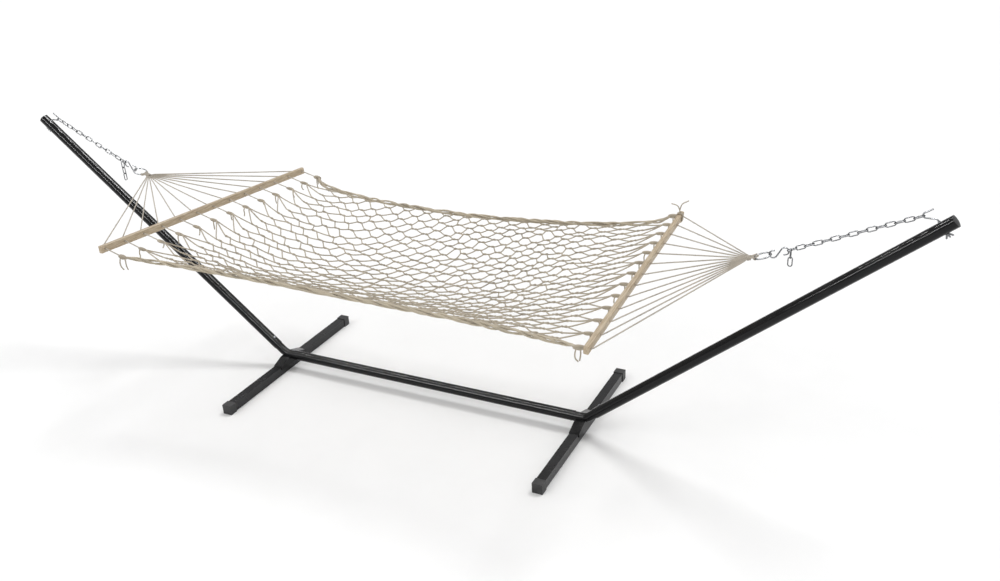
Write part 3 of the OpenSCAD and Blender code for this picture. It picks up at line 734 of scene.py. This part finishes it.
def tie(side, j, skin, tails):
    """Tight turns round a spindle on the cord's end (an ellipse carried round), the lead to
    the net's end loops, and one or two free tails that fall beside it."""
    here = tie_point(side, j)
    net_end = net_point(0.0 if side == "left" else 1.0, hole_y(j) / HOLE_HALF)
    d = unit(net_end - cord_route(side, j)[-1])
    u = unit(np.cross(d, UP))
    v = np.cross(u, d)
    edge = j in (0, CORDS - 1)
    half = EDGE_HALF if edge else TIE_HALF + TIE_SPREAD * rng.uniform()
    thick = EDGE_THICK if edge else TIE_THICK
    s = np.linspace(-1, 1, 64)
    r = thick * np.sqrt(np.clip(1.02 - s ** 2, 0.02, 1)) + 0.0008
    a = np.pi * KNOT_TURNS * s + rng.uniform(0, 6)
    turns = r[:, None] * (u * np.cos(a)[:, None] + v * np.sin(a)[:, None])
    skin.tube(here + d * (half * s)[:, None] + turns, TAIL_R, 7, start=rng.uniform(0, 0.05))
    s = np.linspace(-1.1, 1.1, 12)
    core = thick * np.sqrt(np.clip(1.22 - s ** 2, 0.04, 1)) * 0.9
    skin.tube(here + d * (half * s)[:, None], core, 8)
    lead = np.array([here + d * half * 0.8, (here + d * half + net_end) / 2, net_end])
    skin.tube(lead, LEAD_R, 8)
    for k in range(2 if edge else 1):
        bend = rng.uniform(-1, 1, 3)
        way = unit(u * (0.6 + 0.4 * bend[0]) * (1 if (j + k) % 2 else -1) - d * 0.5 * bend[1])
        drop = rng.uniform(0.034, 0.058) * (1.35 if edge else 1.0)
        fall = [here + way * thick * 0.6, here + way * 0.011 - UP * 0.002,
                here + way * 0.017 - UP * drop * 0.35, here + way * 0.016 - UP * drop * 0.7,
                here + way * (0.015 + 0.013 * bend[2]) - UP * drop]
        tails.tube(spline(fall, 0.005), TAIL_R, 7)


for side in SIDES:
    skin, tails = Skin(), Skin()
    for j in range(CORDS):
        tie(side, j, skin, tails)
    knot_set = skin.object(f"tie_knot_set_{side}", NET_ROPE, "bed", "cotton_rope")
    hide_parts(f"tie_knots_{side}")
    tails.object(f"tie_tails_{side}", NET_ROPE, "bed", "cotton_rope")


# ---- Lashing at the far end of the right bar ----

LASHING_HALF = (0.0146, 0.0216)
LASHING_Y, LASHING_LONG, LASHING_TURNS = 0.652, 0.021, 4


def lashing(side, tails):
    """Turns round the bar before its last hole, each a rounded oblong (a superellipse of the
    fourth power), and tails that stand up from it and bend over."""
    skin = Skin()
    a = np.linspace(0, 2 * np.pi * LASHING_TURNS, 110)
    c, d = np.cos(a), np.sin(a)
    around = np.stack([LASHING_HALF[0] * np.sign(c) * np.abs(c) ** 0.5, 0 * a,
                       LASHING_HALF[1] * np.sign(d) * np.abs(d) ** 0.5], -1)
    around = around @ turn("Y", -BAR_LEAN).T
    around[:, 1] = LASHING_Y + LASHING_LONG * a / a[-1]
    skin.tube(bar_point(side, around), LASHING_R, 7)
    for k in range(tails):
        lean = np.array([-0.012 + 0.030 * k, 0.020 - 0.014 * k, 0.0])
        foot = np.array([0.0, LASHING_Y + 0.005 + 0.010 * k, BAR_H / 2 + 0.003])
        rise = 0.050 - 0.012 * k
        up = [bar_point(side, foot + lean * f * f + np.array([0, 0, rise * h]))
              for f, h in ((0.0, 0.0), (0.4, 0.45), (0.9, 0.9), (1.6, 1.0))]
        skin.tube(spline(up, 0.005), RAISED_TAIL_R, 7)
    skin.object(f"bar_lashing_{side}", NET_ROPE, "bed", "cotton_rope")


lashing("right", 2)


# ---- Floor and light ----

FLOOR_HALF = 400.0
AIR = 0.56          # strength of the white all round as light
BACKDROP = 1.0      # and as it shows behind the floor
STEEP = 0.98        # past this a light looks almost straight down
BED_HEART = (0.0, 0.0, 0.6)


def floor():
    """A pale level square, wide enough for its edge to stay far off."""
    mesh = bpy.data.meshes.new("floor")
    r = FLOOR_HALF
    mesh.from_pydata([(-r, -r, 0), (r, -r, 0), (r, r, 0), (-r, r, 0)], [], [(0, 1, 2, 3)])
    f = Finish("pale_floor", Roughness=0.9, Specular_IOR_Level=0.1)
    f.set("Base Color", f.ramp(f.noise(f.place(), 3.0), [(0.3, (0.93, 0.93, 0.93)),
                                                         (0.7, (0.95, 0.95, 0.95))]))
    mesh.materials.append(f.material)
    obj = bpy.data.objects.new("floor", mesh)
    bpy.context.scene.collection.objects.link(obj)


def strip(name, place, aim, size, power):
    """A long strip light that only shows as a streak in what shines."""
    data = bpy.data.lights.new(name, "AREA")
    data.shape = "RECTANGLE"
    data.size, data.size_y = size
    data.energy = power
    obj = bpy.data.objects.new(name, data)
    bpy.context.scene.collection.objects.link(obj)
    back = unit(np.array(place, float) - np.array(aim, float))
    right = unit(np.cross(UP, back) if abs(back[2]) < STEEP else np.array([1.0, 0, 0]))
    obj.matrix_world = placed(right, np.cross(back, right), back, place)
    obj.visible_diffuse = False


def sun(name, towards, spread, strength):
    """Even light from far away; spread is the width of its disc in degrees."""
    data = bpy.data.lights.new(name, "SUN")
    data.angle = math.radians(spread)
    data.energy = strength
    obj = bpy.data.objects.new(name, data)
    bpy.context.scene.collection.objects.link(obj)
    back = unit(np.array(towards, float))
    right = unit(np.cross(UP, back))
    obj.matrix_world = placed(right, np.cross(back, right), back, (0, 0, 3))


floor()
sun("sun_over", towards=(0.25, 0.45, 1.0), spread=16.0, strength=1.32)
sun("sun_front", towards=(-0.55, -0.9, 1.0), spread=34.0, strength=0.75)
strip("strip_over", place=(0.0, 0.5, 4.6), aim=BED_HEART, size=(8.0, 0.12), power=400.0)
strip("strip_front", place=(0.0, -4.2, 3.4), aim=BED_HEART, size=(8.0, 0.16), power=260.0)


def studio():
    """Even white air that lights at one strength and shows as a white backdrop at another."""
    world = bpy.data.worlds.new("studio")
    bpy.context.scene.world = world
    world.use_nodes = True
    tree = world.node_tree
    background = tree.nodes["Background"]
    background.inputs["Color"].default_value = (1.0, 1.0, 1.0, 1.0)
    seen = tree.nodes.new("ShaderNodeLightPath")
    level = tree.nodes.new("ShaderNodeMath")
    level.operation = "MULTIPLY_ADD"
    level.inputs[1].default_value = BACKDROP - AIR
    level.inputs[2].default_value = AIR
    tree.links.new(seen.outputs["Is Camera Ray"], level.inputs[0])
    tree.links.new(level.outputs[0], background.inputs["Strength"])
    bpy.context.scene.view_settings.view_transform = "Standard"


studio()
